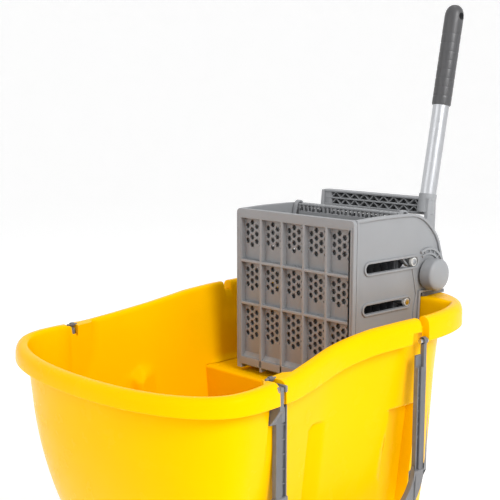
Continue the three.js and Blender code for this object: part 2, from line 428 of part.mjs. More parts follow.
put('upper_roller_right', ROLLER1, 'grey');
put('upper_roller_left', mirrorX(ROLLER1), 'grey');
put('lower_roller_right', ROLLER2, 'grey');
put('lower_roller_left', mirrorX(ROLLER2), 'grey');
put('yoke_arm_right', armRight, 'grey');
put('yoke_arm_left', armLeft, 'grey');
put('yoke_beam', yokeBeam(), 'grey');
put('lever_tube', leverTube, 'alu');
put('hand_grip', handGrip, 'dark');
for (const [tag, [x, y]] of Object.entries(CASTERS)) {
  put(`caster_mount_${tag}`, casterMount(x, y), 'steel');
  put(`caster_fork_${tag}`, casterFork(x, y), 'steel');
  put(`caster_axle_${tag}`, casterAxle(x, y), 'steel');
  put(`caster_wheel_${tag}`, casterWheel(x, y), 'tyre');
}
export default root;
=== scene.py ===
import bpy
import bmesh
import math
import numpy as np
from mathutils import Vector, Matrix


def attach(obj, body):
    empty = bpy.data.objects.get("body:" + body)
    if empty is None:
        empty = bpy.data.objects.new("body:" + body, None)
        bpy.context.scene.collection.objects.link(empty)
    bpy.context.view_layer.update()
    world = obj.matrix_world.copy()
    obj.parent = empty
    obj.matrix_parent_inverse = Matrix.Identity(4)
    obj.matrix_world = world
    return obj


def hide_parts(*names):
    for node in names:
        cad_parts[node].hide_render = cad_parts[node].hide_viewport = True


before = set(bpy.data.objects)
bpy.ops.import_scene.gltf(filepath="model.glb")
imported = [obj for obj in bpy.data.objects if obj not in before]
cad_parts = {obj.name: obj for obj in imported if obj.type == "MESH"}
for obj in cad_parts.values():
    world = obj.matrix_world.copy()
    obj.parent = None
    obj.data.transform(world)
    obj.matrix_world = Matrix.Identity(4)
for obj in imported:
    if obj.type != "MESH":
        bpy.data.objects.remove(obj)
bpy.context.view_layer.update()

scene = bpy.context.scene
OY, OZ = 60.164, 490.0


def P(v):
    return (v[0] / 1000.0, (v[1] + OY) / 1000.0, (v[2] + OZ) / 1000.0)


# ------------------------------------------------------------------ camera, light, floor
YAW, PITCH, ROLL = math.radians(46.7508), math.radians(10.1556), math.radians(0.032)
cam_data = bpy.data.cameras.new("camera")
cam_data.sensor_width = 36.0
cam_data.lens = 77.04
cam_data.shift_y = 0.07
cam_data.clip_start, cam_data.clip_end = 0.05, 60
cam = bpy.data.objects.new("camera", cam_data)
scene.collection.objects.link(cam)
cam.matrix_world = (Matrix.Translation((0.9872, -0.94504, 0.6729)) @ Matrix.Rotation(YAW, 4, 'Z')
                    @ Matrix.Rotation(math.pi / 2 - PITCH, 4, 'X') @ Matrix.Rotation(ROLL, 4, 'Z'))
scene.camera = cam
scene.view_settings.view_transform = 'Standard'
scene.view_settings.look = 'None'

world = bpy.data.worlds.new("studio")
scene.world = world
world.use_nodes = True
world.node_tree.nodes["Background"].inputs[0].default_value = (1, 1, 1, 1)
world.node_tree.nodes["Background"].inputs[1].default_value = 0.58


def area(name, loc, target, size, power, colour=(1, 1, 1)):
    ld = bpy.data.lights.new(name, 'AREA')
    ld.shape = 'RECTANGLE'
    ld.size, ld.size_y = size
    ld.energy = power
    ld.color = colour
    ob = bpy.data.objects.new(name, ld)
    scene.collection.objects.link(ob)
    ob.location = loc
    ob.rotation_euler = (Vector(target) - Vector(loc)).to_track_quat('-Z', 'Y').to_euler()
    return ob


area("key", (2.3, -0.35, 1.9), (0, 0, 0.4), (1.1, 1.1), 52)
area("fill_front", (-0.6, -2.4, 1.3), (0, 0, 0.4), (1.6, 1.6), 7)
area("top", (0.0, 0.3, 2.6), (0, 0, 0.4), (1.2, 1.2), 8)


# ------------------------------------------------------------------ materials
def nodes_of(name):
    m = bpy.data.materials.new(name)
    m.use_nodes = True
    nt = m.node_tree
    return m, nt, nt.nodes["Principled BSDF"], nt.nodes.new("ShaderNodeTexCoord")


def noise(nt, tc, scale, detail=3.0, stretch=None, rough=0.55):
    n = nt.nodes.new("ShaderNodeTexNoise")
    n.inputs["Scale"].default_value = scale
    n.inputs["Detail"].default_value = detail
    n.inputs["Roughness"].default_value = rough
    if stretch:
        mp = nt.nodes.new("ShaderNodeMapping")
        mp.inputs["Scale"].default_value = stretch
        nt.links.new(tc.outputs["Object"], mp.inputs["Vector"])
        nt.links.new(mp.outputs["Vector"], n.inputs["Vector"])
    else:
        nt.links.new(tc.outputs["Object"], n.inputs["Vector"])
    return n


def ramp(nt, src, stops):
    r = nt.nodes.new("ShaderNodeValToRGB")
    el = r.color_ramp.elements
    while len(el) < len(stops):
        el.new(0.5)
    for e, (p, c) in zip(el, stops):
        e.position = p
        e.color = (*c, 1) if len(c) == 3 else c
    nt.links.new(src, r.inputs["Fac"])
    return r


def mapr(nt, src, a, b, c, d):
    r = nt.nodes.new("ShaderNodeMapRange")
    for k, v in zip(("From Min", "From Max", "To Min", "To Max"), (a, b, c, d)):
        r.inputs[k].default_value = v
    nt.links.new(src, r.inputs["Value"])
    return r


def bump(nt, bs, src, strength, dist, prev=None):
    b = nt.nodes.new("ShaderNodeBump")
    b.inputs["Strength"].default_value = strength
    b.inputs["Distance"].default_value = dist
    nt.links.new(src, b.inputs["Height"])
    if prev:
        nt.links.new(prev.outputs["Normal"], b.inputs["Normal"])
    nt.links.new(b.outputs["Normal"], bs.inputs["Normal"])
    return b


def surface(name, rgb, rough, var=0.06, grain=700, grain_h=0.00006, edge=0.25, metallic=0.0, spec=0.5,
            stretch=None, coat=0.0, tint=None, wave=0.0005, glow=0.0):
    m, nt, bs, tc = nodes_of(name)
    lo = tuple(max(0, c * (1 - var)) for c in rgb)
    hi = tuple(min(1, c * (1 + var)) for c in rgb)
    big = noise(nt, tc, 9, 4, stretch)
    base = ramp(nt, big.outputs["Fac"], [(0.32, lo), (0.5, rgb), (0.68, hi)])
    geo = nt.nodes.new("ShaderNodeNewGeometry")
    worn = tuple(min(1, c + edge * (0.9 - c) * 0.5) for c in rgb)
    scuff = noise(nt, tc, 60, 5, stretch)
    pt = mapr(nt, geo.outputs["Pointiness"], 0.53, 0.62, 0, 0.7)
    mul = nt.nodes.new("ShaderNodeMath")
    mul.operation = 'MULTIPLY'
    nt.links.new(pt.outputs["Result"], mul.inputs[0])
    nt.links.new(mapr(nt, scuff.outputs["Fac"], 0.35, 0.65, 0.2, 1).outputs["Result"], mul.inputs[1])
    mix = nt.nodes.new("ShaderNodeMix")
    mix.data_type = 'RGBA'
    nt.links.new(mul.outputs[0], mix.inputs["Factor"])
    nt.links.new(base.outputs["Color"], mix.inputs["A"])
    wr = ramp(nt, scuff.outputs["Fac"], [(0.3, worn), (0.7, tuple(min(1, c * 1.05) for c in worn))])
    nt.links.new(wr.outputs["Color"], mix.inputs["B"])
    nt.links.new(mix.outputs["Result"], bs.inputs["Base Color"])
    rn = noise(nt, tc, 38, 4, stretch)
    nt.links.new(mapr(nt, rn.outputs["Fac"], 0.3, 0.7, max(0.03, rough - 0.06), rough + 0.07).outputs["Result"], bs.inputs["Roughness"])
    b1 = bump(nt, bs, noise(nt, tc, grain, 2, stretch).outputs["Fac"], 0.35, grain_h)
    if wave:
        bump(nt, bs, noise(nt, tc, 24, 2).outputs["Fac"], 0.25, wave, b1)
    bs.inputs["Metallic"].default_value = metallic
    bs.inputs["Specular IOR Level"].default_value = spec
    bs.inputs["Coat Weight"].default_value = coat
    bs.inputs["Coat Roughness"].default_value = 0.2
    if tint:
        bs.inputs["Specular Tint"].default_value = (*tint, 1)
    if glow:
        bs.inputs["Emission Color"].default_value = (1, 1, 1, 1)
        bs.inputs["Emission Strength"].default_value = glow
    return m


M = {
    "bucket_yellow": surface("bucket_yellow", (0.95, 0.5, 0.0), 0.24, var=0.02, grain=900, grain_h=0.00001, edge=0.02, tint=(1, 0.72, 0.05), spec=0.05, wave=0.00003),
    "wringer_grey": surface("wringer_grey", (0.25, 0.257, 0.268), 0.46, var=0.05, grain=1100, grain_h=0.00008),
    "handle_grey": surface("handle_grey", (0.11, 0.111, 0.117), 0.42, var=0.06, grain=1000),
    "dark_plastic": surface("dark_plastic", (0.055, 0.057, 0.062), 0.45, var=0.08, grain=1000),
    "grip_grey": surface("grip_grey", (0.052, 0.052, 0.055), 0.38, var=0.06, grain=1300, grain_h=0.0001),
    "roller_nylon": surface("roller_nylon", (0.6, 0.6, 0.58), 0.4, var=0.04, grain=900),
    "aluminium_tube": surface("aluminium_tube", (0.5, 0.51, 0.53), 0.32, var=0.04, grain=500, metallic=1.0, stretch=(14, 14, 0.7)),
    "steel": surface("steel", (0.6, 0.61, 0.63), 0.3, var=0.1, grain=500, metallic=1.0, edge=0.2),
    "wheel_rubber": surface("wheel_rubber", (0.045, 0.045, 0.048), 0.62, var=0.15, grain=1400, grain_h=0.00015),
}
M["handle_pad"] = surface("handle_pad", (0.15, 0.15, 0.156), 0.5, var=0.05, grain=1200, grain_h=0.00012)
# painted shade: a darker grey for the strainer's back sheet and the yoke beam's web, standing in for the shade inside
# these recesses
M["recess_shade_grey"] = surface("recess_shade_grey", (0.1, 0.1, 0.103), 0.5, var=0.06, grain=1000)
M["wheel_hub"] = surface("wheel_hub", (0.24, 0.24, 0.245), 0.45, var=0.05)
floor_mat = surface("floor", (0.93, 0.93, 0.93), 0.75, var=0.01, grain=200, edge=0.0, spec=0.1, glow=0.24)


# ------------------------------------------------------------------ mesh helpers (all in the CAD working datum, mm)
class Part:
    def __init__(self):
        self.v, self.f, self.m = [], [], []

    def add(self, vf, fn=None, mat=0):
        v, f = vf
        o = len(self.v)
        self.v += [tuple(fn(p)) if fn else tuple(p) for p in v]
        self.f += [tuple(i + o for i in q) for q in f]
        self.m += [mat] * len(f)
        return self


def make(name, part, mats, body, nodes=(), mirror=False, angle=36, weighted=True):
    s = -1 if mirror else 1
    me = bpy.data.meshes.new(name)
    me.from_pydata([P((s * x, y, z)) for x, y, z in part.v], [], part.f)
    mats = mats if isinstance(mats, (list, tuple)) else [mats]
    for m in mats:
        me.materials.append(M[m])
    me.polygons.foreach_set("material_index", part.m)
    bm = bmesh.new()
    bm.from_mesh(me)
    bmesh.ops.recalc_face_normals(bm, faces=bm.faces[:])
    bm.to_mesh(me)
    bm.free()
    me.polygons.foreach_set("use_smooth", [True] * len(me.polygons))
    me.set_sharp_from_angle(angle=math.radians(angle))
    me.update()
    ob = bpy.data.objects.new(name, me)
    scene.collection.objects.link(ob)
    if weighted:
        w = ob.modifiers.new("weighted", 'WEIGHTED_NORMAL')
        w.keep_sharp = True
    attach(ob, body)
    if nodes:
        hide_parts(*nodes)
    return ob


def grab(bm):
    bm.verts.index_update()
    v = [tuple(x.co) for x in bm.verts]
    f = [tuple(x.index for x in q.verts) for q in bm.faces]
    bm.free()
    return v, f


def rbox(x0, x1, y0, y1, z0, z1, r=0.8, seg=2):
    bm = bmesh.new()
    bmesh.ops.create_cube(bm, size=1.0)
    for v in bm.verts:
        v.co = Vector((x0 + (v.co.x + .5) * (x1 - x0), y0 + (v.co.y + .5) * (y1 - y0), z0 + (v.co.z + .5) * (z1 - z0)))
    r = min(r, 0.42 * min(x1 - x0, y1 - y0, z1 - z0))
    bmesh.ops.bevel(bm, geom=bm.edges[:], offset=r, segments=seg, profile=0.5, affect='EDGES', clamp_overlap=True)
    return grab(bm)


def prism(outline, t0, t1, axis, bev=0.8, holes=(), res=1):
    cu = bpy.data.curves.new("tmp", 'CURVE')
    cu.dimensions = '2D'
    cu.fill_mode = 'BOTH'
    bev = min(bev, (t1 - t0) * 0.45)
    cu.extrude = (t1 - t0) / 2 - bev
    cu.bevel_depth = bev
    cu.bevel_resolution = res
    cu.offset = -bev
    for pts in [outline, *holes]:
        sp = cu.splines.new('POLY')
        sp.points.add(len(pts) - 1)
        sp.points.foreach_set("co", [c for p in pts for c in (p[0], p[1], 0, 1)])
        sp.use_cyclic_u = True
    ob = bpy.data.objects.new("tmp", cu)
    scene.collection.objects.link(ob)
    dg = bpy.context.evaluated_depsgraph_get()
    me = bpy.data.meshes.new_from_object(ob.evaluated_get(dg))
    bm = bmesh.new()
    bm.from_mesh(me)
    bmesh.ops.remove_doubles(bm, verts=bm.verts[:], dist=0.01)
    v, f = grab(bm)
    bpy.data.objects.remove(ob)
    bpy.data.curves.remove(cu)
    bpy.data.meshes.remove(me)
    c = (t0 + t1) / 2
    if axis == 'x':
        v = [(c + w, u, q) for u, q, w in v]
    elif axis == 'y':
        v = [(u, c + w, q) for u, q, w in v]
    else:
        v = [(u, q, c + w) for u, q, w in v]
    return v, f


def lathe(profile, origin, axis, n=48, a0=0.0):
    ax = Vector(axis).normalized()
    u = ax.orthogonal().normalized()
    w = ax.cross(u)
    o = Vector(origin)
    v, f, rings = [], [], []
    for r, h in profile:
        if r < 1e-6:
            rings.append([len(v)])
            v.append(tuple(o + ax * h))
        else:
            rings.append(list(range(len(v), len(v) + n)))
            for i in range(n):
                a = a0 + 2 * math.pi * i / n
                v.append(tuple(o + ax * h + (u * math.cos(a) + w * math.sin(a)) * r))
    for A, B in zip(rings, rings[1:]):
        for i in range(n):
            j = (i + 1) % n
            q = []
            for k in ((A[i] if len(A) > 1 else A[0]), (A[j] if len(A) > 1 else A[0]),
                      (B[j] if len(B) > 1 else B[0]), (B[i] if len(B) > 1 else B[0])):
                if k not in q:
                    q.append(k)
            if len(q) >= 3:
                f.append(tuple(q))
    return v, f


def rodp(r, h0, h1, e=0.6):
    return [(0, h0), (r - e, h0), (r - 0.25 * e, h0 + 0.25 * e), (r, h0 + e), (r, h1 - e), (r - 0.25 * e, h1 - 0.25 * e), (r - e, h1), (0, h1)]


def circle(y, z, r, n=40, a0=0.0, a1=2 * math.pi):
    full = abs(a1 - a0 - 2 * math.pi) < 1e-6
    k = n if full else n + 1
    return [(y + r * math.cos(a0 + (a1 - a0) * i / n), z + r * math.sin(a0 + (a1 - a0) * i / n)) for i in range(k)]


def slot_pts(y0, y1, z, h, n=12):
    r = h / 2
    return circle(y1 - r, z, r, n, -math.pi / 2, math.pi / 2) + circle(y0 + r, z, r, n, math.pi / 2, 1.5 * math.pi)


def inset(pts, d):
    n, out = len(pts), []
    for i in range(n):
        a, b, c = pts[i - 1], pts[i], pts[(i + 1) % n]
        e1, e2 = (b[0] - a[0], b[1] - a[1]), (c[0] - b[0], c[1] - b[1])
        l1, l2 = math.hypot(*e1), math.hypot(*e2)
        n1, n2 = (-e1[1] / l1, e1[0] / l1), (-e2[1] / l2, e2[0] / l2)
        k = 1 + n1[0] * n2[0] + n1[1] * n2[1]
        out.append((b[0] + d * (n1[0] + n2[0]) / k, b[1] + d * (n1[1] + n2[1]) / k))
    return out


def rrect(x0, x1, z0, z1, r, n=6):
    out = []
    for cx, cz, a in ((x1 - r, z0 + r, -90), (x1 - r, z1 - r, 0), (x0 + r, z1 - r, 90), (x0 + r, z0 + r, 180)):
        out += circle(cx, cz, r, n, math.radians(a), math.radians(a + 90))
    return out


def keep(name, mat, width=0.0006, angle=35):
    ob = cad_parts[name]
    if len(ob.material_slots) == 0:
        ob.data.materials.append(M[mat])
    for s in ob.material_slots:
        s.material = M[mat]
    if width:
        b = ob.modifiers.new("edge", 'BEVEL')
        b.width = width
        b.segments = 2
        b.limit_method = 'ANGLE'
        b.angle_limit = math.radians(angle)
        b.harden_normals = False
        w = ob.modifiers.new("weighted", 'WEIGHTED_NORMAL')
        w.keep_sharp = False


# ------------------------------------------------------------------ bucket shell
PLAN = [(0, -345), (57.5, -342.5), (106, -335), (146.3, -323), (176.7, -307), (195.6, -287.8), (202, -265), (200.5, -238), (194, -195),
        (184.5, -150), (176.5, -108), (175.5, -64), (179, -20), (182.5, 30), (182, 80), (177, 110), (166, 138), (149, 160), (127, 176),
        (100, 187), (70, 193.5), (36, 197.5), (0, 198.4)]
CRY = [-360, -320, -280, -240, -200, -160, -120, -80, -40, 10, 60, 110, 134, 220]
CRZ = [-132.5, -128, -123.8, -121, -118.7, -112.5, -105.5, -99.5, -94.5, -92, -91.1, -89, -88, -88]
HX, HZ, HYF, HYR = 189.0, -120.0, -213.0, 33.0


def sm(a, b, v):
    t = np.clip((np.asarray(v, float) - a) / (b - a), 0, 1)
    return t * t * (3 - 2 * t)


# crest heights as a softened curve through the table
_yy = np.linspace(-370, 230, 1201)
_zz = np.interp(_yy, CRY, CRZ)
_k = np.hanning(61)
_zz = np.convolve(np.pad(_zz, 30, mode='edge'), _k / _k.sum(), mode='valid')


def crest(y):
    return np.interp(y, _yy, _zz)


def catmull(pts, sub=24):
    pts = np.array(pts, float)
    ext = np.vstack([[-pts[1][0], pts[1][1]], pts, [-pts[-2][0], pts[-2][1]]])
    out = []
    for i in range(1, len(ext) - 2):
        p0, p1, p2, p3 = ext[i - 1:i + 3]
        t0 = 0.0
        t1 = t0 + np.linalg.norm(p1 - p0) ** .5
        t2 = t1 + np.linalg.norm(p2 - p1) ** .5
        t3 = t2 + np.linalg.norm(p3 - p2) ** .5
        for t in np.linspace(t1, t2, sub, endpoint=False):
            a1 = (t1 - t) / (t1 - t0) * p0 + (t - t0) / (t1 - t0) * p1
            a2 = (t2 - t) / (t2 - t1) * p1 + (t - t1) / (t2 - t1) * p2
            a3 = (t3 - t) / (t3 - t2) * p2 + (t - t2) / (t3 - t2) * p3
            b1 = (t2 - t) / (t2 - t0) * a1 + (t - t0) / (t2 - t0) * a2
            b2 = (t3 - t) / (t3 - t1) * a2 + (t - t1) / (t3 - t1) * a3
            out.append((t2 - t) / (t2 - t1) * b1 + (t - t1) / (t2 - t1) * b2)
    out.append(pts[-1])
    return np.array(out)


dense = catmull(PLAN)
ds = np.r_[0, np.cumsum(np.linalg.norm(np.diff(dense, axis=0), axis=1))]
L = ds[-1]
side = (dense[:, 0] > 150) & (dense[:, 1] > -300) & (dense[:, 1] < 150)
s_of_y = lambda y: float(np.interp(y, dense[side, 1], ds[side]))
SLOT_F = (-228.7, -219.5)
SLOT_R = (35.6, 49.0)
keys = []
for y in (HYF - 13.6, HYF + 13.6, HYR - 13.6, HYR + 13.6, -141.0, 9.0, 62.0, *SLOT_F, *SLOT_R):
    keys += [s_of_y(y + d) for d in (-2.0, -0.55, 0.55, 2.0)]
keys += [s_of_y(y) for y in np.arange(-138.5, -96, 3.5)]
keys = sorted(keys)
cols = [0.0]
base = np.linspace(0, L, 116)
for s in sorted(list(base[1:-1]) + keys):
    isk = any(abs(s - k) < 1e-9 for k in keys)
    if s - cols[-1] < 0.6:
        continue
    if not isk and any(abs(s - k) < 2.4 for k in keys):
        continue
    cols.append(s)
cols.append(L)
cols = np.array(cols)
cx = np.interp(cols, ds, dense[:, 0])
cy = np.interp(cols, ds, dense[:, 1])
eps = 2.0
tx = np.interp(cols + eps, ds, dense[:, 0]) - np.interp(cols - eps, ds, dense[:, 0])
ty = np.interp(cols + eps, ds, dense[:, 1]) - np.interp(cols - eps, ds, dense[:, 1])
tl = np.hypot(tx, ty)
nx, ny = ty / tl, -tx / tl
nx[0], ny[0], nx[-1], ny[-1] = 0, -1, 0, 1
cx[0] = cx[-1] = 0
cz = crest(cy)
skirt = 21 + 9 * sm(-340, -120, cy)


def taper(d):
    w = 1 - sm(-300, -150, cy)
    front = 0.09 * d + 0.00106 * np.maximum(0, d - 80) ** 2
    return 0.11 * d + (front - 0.11 * d) * w


def softmin(v, lim, k):
    d = (v - lim) / k
    return np.where(d < -1, v, np.where(d > 1, lim, lim - k * (1 - d) ** 2 / 4))


def pull(r):
    x, y, z = r[:, 0], r[:, 1], r[:, 2]
    d = cz - z
    m = sm(6, 30, d) * (1 - 0.5 * sm(60, 220, d))
    r[:, 0] = x * (1 - 0.03 * m * sm(40, 150, y))
    r[:, 1] = y - 0.2 * m * np.maximum(0, y - 60) * sm(60, 90, y)
    return r


def inside(y, a, b, soft=0.6):
    return sm(a - soft, a + soft, y) * (1 - sm(b - soft, b + soft, y))


groove = np.maximum(inside(cy, HYF - 13.6, HYF + 13.6), 0)
groove_in = np.maximum(inside(cy, HYF - 18, HYF + 18, 2.5), 0)
slotF = inside(cy, *SLOT_F)
slotR = inside(cy, *SLOT_R)


def step_depth(x, y, z, wide=0.0):
    ys, zs = (5.5, 9.0) if wide else (0.6, 2.2)
    """how far a wall at x is pushed in by the side recess"""
    zt = -198 - 9 * np.clip(1 - (y + 141) / 12, 0, 1) ** 2 + wide
    lim = 149.5 + (np.clip(y, -141, -98) + 141) * 16 / 43 - 0.11 * (-198 - z)
    m = inside(y, -141 - wide, -98 + wide, ys) * sm(zt + zs, zt - zs, z)
    d = m * np.maximum(0, x - lim + wide * 0.7)
    zp = -210 + wide
    limp = 149.5 - 0.11 * (-210 - z)
    mp = inside(y, 9 - wide, 62 + wide, min(ys, 2.2)) * sm(zp + zs, zp - zs, z)
    return np.maximum(d, mp * np.maximum(0, x - limp + wide * 0.7))


def ringp(off, z, ymax=None, soft=3.0, xmax=None):
    x = cx + nx * off
    y = cy + ny * off
    if ymax is not None:
        y = softmin(y, ymax, soft)
    z = np.broadcast_to(z, x.shape).astype(float).copy()
    return np.stack([x, y, z], 1)


G = []
WO, WI = -4.0, -8.0
# inside, from the well floor upwards
zf = -384.0


def in_wall(z, extra=0.0, ymax=-15.0, soft=4.0):
    z = np.broadcast_to(z, cx.shape).astype(float)
    r = pull(ringp(WI - taper(cz - z), z))
    r[:, 1] = softmin(r[:, 1], ymax, soft)
    r[:, 0] -= step_depth(r[:, 0], r[:, 1], r[:, 2], 4.0)
    r[:, 0] -= groove_in * np.maximum(0, r[:, 0] - 180.8)
    if extra:
        r[:, 0] *= 1 - extra / 135
        r[:, 1] = -150 + (r[:, 1] + 150) * (1 - extra / 135)
    return r


for e, dz in ((34, 0.0), (20, 0.0), (10, 0.4), (5.5, 2.2), (2.2, 5.5), (0.4, 10)):
    G.append(in_wall(zf + dz, e))
for z in (-360, -344, -328, -312, -296, -280, -264, -250, -238, -228, -220, -214.5, -211, -209):
    G.append(in_wall(z))
G.append(in_wall(-207.4, 0.0, -14.2, 4))
for t in (0.05, 0.25, 0.5, 0.75, 0.92):   # shelf from the well edge back to the rear wall
    a = in_wall(-206.4, 0.0, -12.5, 4)
    b = in_wall(-205.0, 0.0, 139.0, 4)
    G.append(a + (b - a) * t)
G.append(in_wall(-204.2, 0.0, 139.6, 4))
for z in (-202, -198.5, -195.5, -192.5, -189, -184, -176):
    G.append(in_wall(z, 0.0, 140.0))
ztop = cz - 9
zlow = np.full_like(cz, -170.0)
for t in (0.0, 0.2, 0.4, 0.6, 0.8):
    G.append(in_wall(zlow + (ztop - zlow) * t, 0.0, 140.0))
top = [(-8.0, -9.0, 140.0), (-7.6, -5.2, 140.2), (-6.6, -2.3, 140.9), (-4.9, -0.7, 142.2)]
for off, dz, ym in top:
    r = ringp(off, cz + dz, ym, 3)
    lim = 180.8
    r[:, 0] -= groove_in * np.maximum(0, r[:, 0] - lim)
    G.append(r)
inner_rim = G[-1]
c0 = ringp(-2.6, cz - 0.1)
for t in (0.34, 0.67, 1.0):
    G.append(inner_rim + (c0 - inner_rim) * t)
    G[-1][:, 2] = cz - 0.1 - 0.6 * (1 - t) ** 2
rim_start = len(G)
for off, dz in ((0, 0.0), (2.4, -0.4), (4.8, -1.6), (6.8, -3.7), (8.2, -6.8), (9.0, -11.0)):
    G.append(ringp(off, cz + dz))
sk = skirt.copy()
notch_r = inside(cy, HYR - 13.8, HYR + 13.8)
sk = sk * (1 - notch_r) + (cz + 108.0) * notch_r
for off, k in ((9.5, 1.6), (9.35, 0.5), (8.7, 0.0), (7.0, 0.0), (6.3, 0.5), (6.0, 1.6)):
    G.append(ringp(off, cz - sk + k))
for off, dz in ((5.7, -12.0), (4.6, -9.6), (1.0, -8.6), (-2.8, -9.4)):
    G.append(ringp(off, cz + dz))
rim_end = len(G)


def out_wall(z, extra=0.0):
    z = np.broadcast_to(z, cx.shape).astype(float)
    r = pull(ringp(WO - taper(cz - z), z))
    r[:, 0] -= step_depth(r[:, 0], r[:, 1], r[:, 2])
    r[:, 0] -= groove * np.maximum(0, r[:, 0] - 184.8)
    if extra:
        r[:, 0] *= 1 - extra / 140
        r[:, 1] = -75 + (r[:, 1] + 75) * (1 - extra / 200)
    return r


zt0 = cz - 12
for t in (0.0, 0.2, 0.4, 0.6, 0.8, 1.0):
    G.append(out_wall(zt0 + (-186.0 - zt0) * t))
for z in (-189, -191.5, -193.8, -195.6, -197.2, -198.8, -200.6, -202.6, -205, -207.4, -208.8, -210, -211.2, -212.8, -215.5, -220,
          -228, -240, -254, -268, -282, -296, -310, -324, -338, -352, -364, -374):
    G.append(out_wall(z))
for e, dz in ((0.5, 10), (2.2, 5.5), (5.5, 2.0), (10, 0.3), (20, 0.0), (34, 0.0)):
    G.append(out_wall(-390.0 + dz, e))
G = np.array(G)
# slots in the rim for the necks of the carry handles
for L0 in range(rim_start - 7, rim_end):
    x, z = G[L0, :, 0], G[L0, :, 2]
    G[L0, :, 0] = x - slotF * np.maximum(0, x - 184.4)
    G[L0, :, 2] = np.where(slotF > 0, z - slotF * np.maximum(0, z + 134.0) * (G[L0, :, 0] > 170), z)
    z = G[L0, :, 2]
    G[L0, :, 2] = z - slotR * np.maximum(0, z + 106.0) * 0.85
    x = G[L0, :, 0]
    G[L0, :, 0] = x - slotR * np.maximum(0, x - 183.0)
n_half = len(cols)
full = np.concatenate([G, (G[:, -2:0:-1] * np.array([-1, 1, 1]))], axis=1)
nl, nc = full.shape[:2]
faces = []
for a in range(nl - 1):
    for i in range(nc):
        j = (i + 1) % nc
        faces.append((a * nc + i, a * nc + j, (a + 1) * nc + j, (a + 1) * nc + i))
for b0 in (0, (nl - 1) * nc):
    for i in range(n_half - 1):
        q = [b0 + i, b0 + i + 1, b0 + (nc - i - 1) % nc, b0 + (nc - i) % nc]
        u = []
        for k in q:
            if k not in u:
                u.append(k)
        if len(u) >= 3:
            faces.append(tuple(u))
shell = Part().add((full.reshape(-1, 3).tolist(), faces))
make("bucket_shell_moulded", shell, "bucket_yellow", "bucket", ["bucket_shell"], angle=62, weighted=False)

# ------------------------------------------------------------------ carry handles
W2, LOW, RB = 8.4, -342.0, 62.0
AF, AR = -209.3, 37.4      # arm centre lines


def u_band(a, c, ztf, ztr):
    """closed outline of the U between the offsets a (outer) and c (inner) from its centre line"""
    o = [(AF - a, ztf)]
    o += circle(AF + RB, LOW + RB, RB + a, 14, math.pi, 1.5 * math.pi)
    o += circle(AR - RB, LOW + RB, RB + a, 14, 1.5 * math.pi, 2 * math.pi)
    o += [(AR + a, ztr), (AR + c, ztr)]
    o += circle(AR - RB, LOW + RB, RB + c, 14, 2 * math.pi, 1.5 * math.pi)
    o += circle(AF + RB, LOW + RB, RB + c, 14, 1.5 * math.pi, math.pi)
    o += [(AF - c, ztf)]
    return o


for mir, tag in ((False, "right"), (True, "left")):
    h = Part()
    zt = HZ - 32
    h.add(prism(u_band(W2, -W2, zt, zt), 185.4, 188.8, 'x', 0.9))
    h.add(prism(u_band(W2, -1.4, zt - 0.5, zt - 0.5), 187.8, 192.4, 'x', 1.1, res=2))
    h.add(prism(u_band(-W2 + 2.0, -W2, zt - 0.5, zt - 0.5), 187.8, 192.2, 'x', 0.7))
    h.add(rbox(185.5, 188.2, AR - W2, AR + W2, HZ - 33.5, HZ - 17.0, 0.9))
    h.add(prism([(186, -124), (186, -170), (193, -170), (207.2, -152), (207.6, -126.0), (197, -125.2)][::-1], -227.1, -221.1, 'y', 0.9, res=2))
    h.add(rbox(186.0, 192.0, -226.9, -204.0, -172, -154, 1.0))
    h.add(lathe(rodp(3.0, -226.9, -221.3, 0.6), (HX, 0, HZ), (0, 1, 0), 32))
    h.add(rbox(186.0, 192.6, 39.6, 45.4, HZ - 40, HZ + 5, 1.4))
    h.add(lathe(rodp(5.2, 39.6, 45.4, 0.9), (HX, 0, HZ), (0, 1, 0), 32))
    for k in range(5):
        for yc in (AF + 5.0, AR - 5.0):
            h.add(rbox(188.2, 190.6, yc - 2.6, yc + 2.6, -176 - 17 * k, -174.2 - 17 * k, 0.4))
    h.add(prism(u_band(W2 + 1.4, -W2 - 1.4, -258, -286), 184.6, 193.6, 'x', 2.2, res=3), mat=1)
    for k in range(13):
        yk = AF + 57 + k * 11.1
        h.add(rbox(184.2, 194.3, yk - 1.4, yk + 1.4, LOW - 7.6, LOW + 7.6, 0.6), mat=1)
    make("carry_handle_moulded_" + tag, h, ["handle_grey", "handle_pad"], "handle_" + tag, ["carry_handle_" + tag], mirror=mir)
    for e in ("front", "rear"):
        p = Part()
        if e == "front":
            p.add(lathe(rodp(1.6, -231.4, -216.6, 0.4), (HX, 0, HZ), (0, 1, 0), 24), mat=1)
            for y0, y1 in ((-231.8, -228.3), (-219.9, -216.4)):
                p.add(rbox(192, 208.6, y0, y1, -132.0, -124.4, 1.8, 3), mat=1)
        else:
            p.add(lathe(rodp(2.9, 34.6, 50.2, 0.5), (HX, 0, HZ), (0, 1, 0), 24))
        make(f"handle_pin_turned_{e}_{tag}", p, ["steel", "handle_pad"], "bucket", [f"handle_pin_{e}_{tag}"], mirror=mir)

